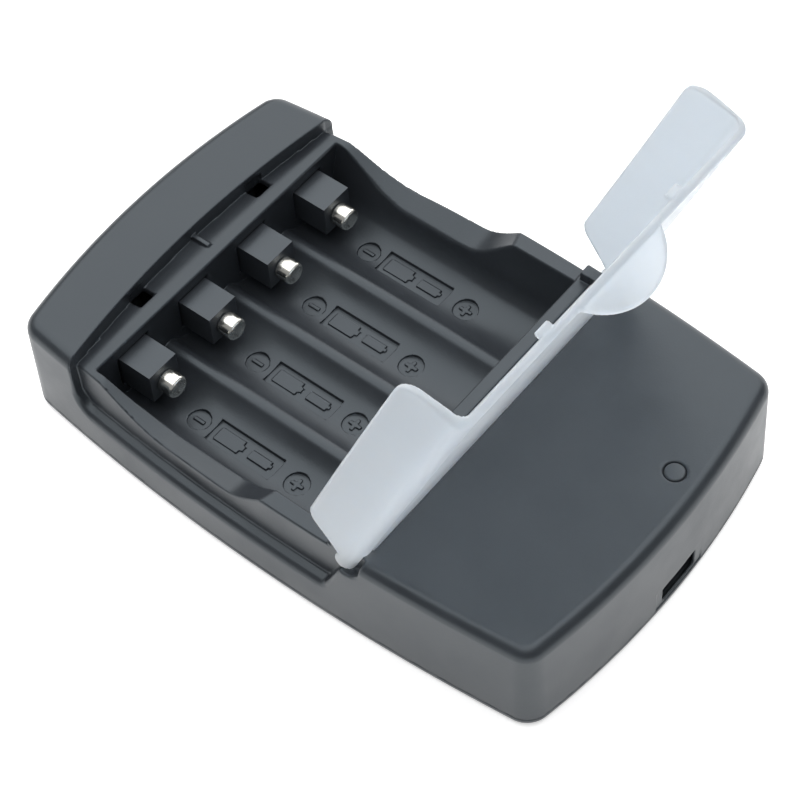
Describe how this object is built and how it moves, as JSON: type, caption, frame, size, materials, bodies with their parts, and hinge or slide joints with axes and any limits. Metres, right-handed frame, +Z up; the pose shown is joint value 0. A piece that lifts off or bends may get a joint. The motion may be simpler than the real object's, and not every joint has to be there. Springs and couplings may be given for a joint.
{
  "type": "aa battery charger",
  "caption": "Charger for AA and AAA cells: parallel troughs with sprung contacts under a hinged frosted cover, a flat deck with an indicator window, and a cable socket in the end wall.",
  "frame": {"origin": "centre of the base, on the plane the case stands on", "axes": "+X along the case towards the cable socket, +Y across the troughs, +Z up"},
  "size_m": [0.1214, 0.0776, 0.0819],
  "materials": {
    "housing": "fine satin moulding texture",
    "base": "fine satin moulding texture",
    "slider": "satin",
    "cover": "frosted, see-through",
    "contact_metal": "nickel plated",
    "spring_wire": "bright drawn wire",
    "wire_sleeve": "soft sleeve",
    "board": "solder mask",
    "chip": "moulded",
    "ferrite": "sintered",
    "capacitor_can": "drawn can",
    "led": "clear tinted resin",
    "light_pipe": "smoked, lightly frosted",
    "socket_tongue": "moulded",
    "screw": "zinc plated"
  },
  "bodies": {
    "case": {"top_housing": "housing", "bottom_cover": "base", "slider_spring_1": "spring_wire", "slider_spring_2": "spring_wire", "slider_spring_3": "spring_wire", "slider_spring_4": "spring_wire", "positive_contact_1": "contact_metal", "positive_contact_2": "contact_metal", "positive_contact_3": "contact_metal", "positive_contact_4": "contact_metal", "negative_bus_strip": "contact_metal", "ground_lead": "wire_sleeve", "circuit_board": "board", "charge_controller_chip": "chip", "charge_transistors": "chip", "power_inductor": "ferrite", "smoothing_capacitor": "capacitor_can", "indicator_led": "led", "led_light_pipe": "light_pipe", "usb_socket_shell": "contact_metal", "usb_socket_tongue": "socket_tongue", "case_screws": "screw"},
    "lid": {"flip_cover": "cover"},
    "slider_1": {"contact_slider_1": "slider", "negative_pin_1": "contact_metal"},
    "slider_2": {"contact_slider_2": "slider", "negative_pin_2": "contact_metal"},
    "slider_3": {"contact_slider_3": "slider", "negative_pin_3": "contact_metal"},
    "slider_4": {"contact_slider_4": "slider", "negative_pin_4": "contact_metal"}
  },
  "joints": [
    {"name": "lid_hinge", "type": "hinge", "parent": "case", "child": "lid", "pos_m": [0.0206, 0, 0.0204], "axis": [0, -1, 0], "range_deg": [0, 112.35]},
    {"name": "slider_1_slide", "type": "slide", "parent": "case", "child": "slider_1", "axis": [-1, 0, 0], "range_m": [0, 0.0072], "stiffness_N_per_m": 300, "springref_m": -0.004, "deforming": ["slider_spring_1"]},
    {"name": "slider_2_slide", "type": "slide", "parent": "case", "child": "slider_2", "axis": [-1, 0, 0], "range_m": [0, 0.0072], "stiffness_N_per_m": 300, "springref_m": -0.004, "deforming": ["slider_spring_2"]},
    {"name": "slider_3_slide", "type": "slide", "parent": "case", "child": "slider_3", "axis": [-1, 0, 0], "range_m": [0, 0.0072], "stiffness_N_per_m": 300, "springref_m": -0.004, "deforming": ["slider_spring_3"]},
    {"name": "slider_4_slide", "type": "slide", "parent": "case", "child": "slider_4", "axis": [-1, 0, 0], "range_m": [0, 0.0072], "stiffness_N_per_m": 300, "springref_m": -0.004, "deforming": ["slider_spring_4"]}
  ]
}
